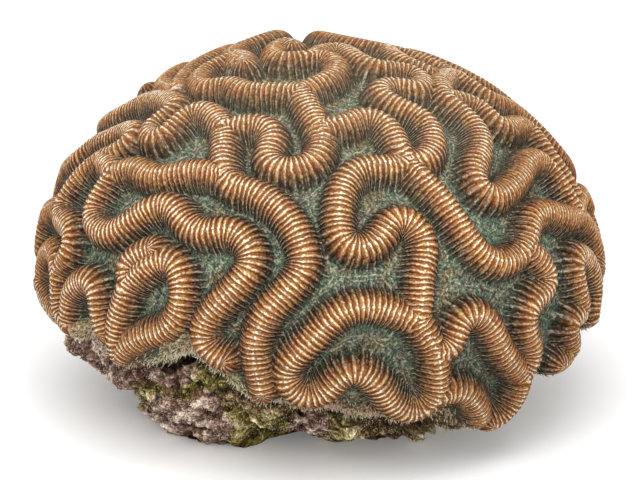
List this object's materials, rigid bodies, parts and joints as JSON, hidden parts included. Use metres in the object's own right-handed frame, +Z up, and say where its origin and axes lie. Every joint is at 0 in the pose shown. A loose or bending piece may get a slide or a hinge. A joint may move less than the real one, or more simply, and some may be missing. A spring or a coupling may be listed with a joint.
{
  "type": "brain coral",
  "caption": "Massive brain coral colony, a low dome of meandering ribbed ridges on the flat-footed rock it grew over.",
  "frame": {"origin": "on the ground below the middle of the dome, at the bottom centre of the bounding box", "axes": "+Z up, +X to the right of the side shown in the picture, -Y towards the viewer"},
  "size_m": [0.1896, 0.1827, 0.1233],
  "materials": {
    "coral_skin": "matte, slightly moist coral tissue over ribbed skeleton: orange-brown walls, cream ribs, grey-green valleys",
    "encrusted_rock": "rough reef rock with mauve crust and short olive turf"
  },
  "bodies": {
    "root": {"coral": "coral_skin", "base_rock": "encrusted_rock"}
  },
  "joints": []
}
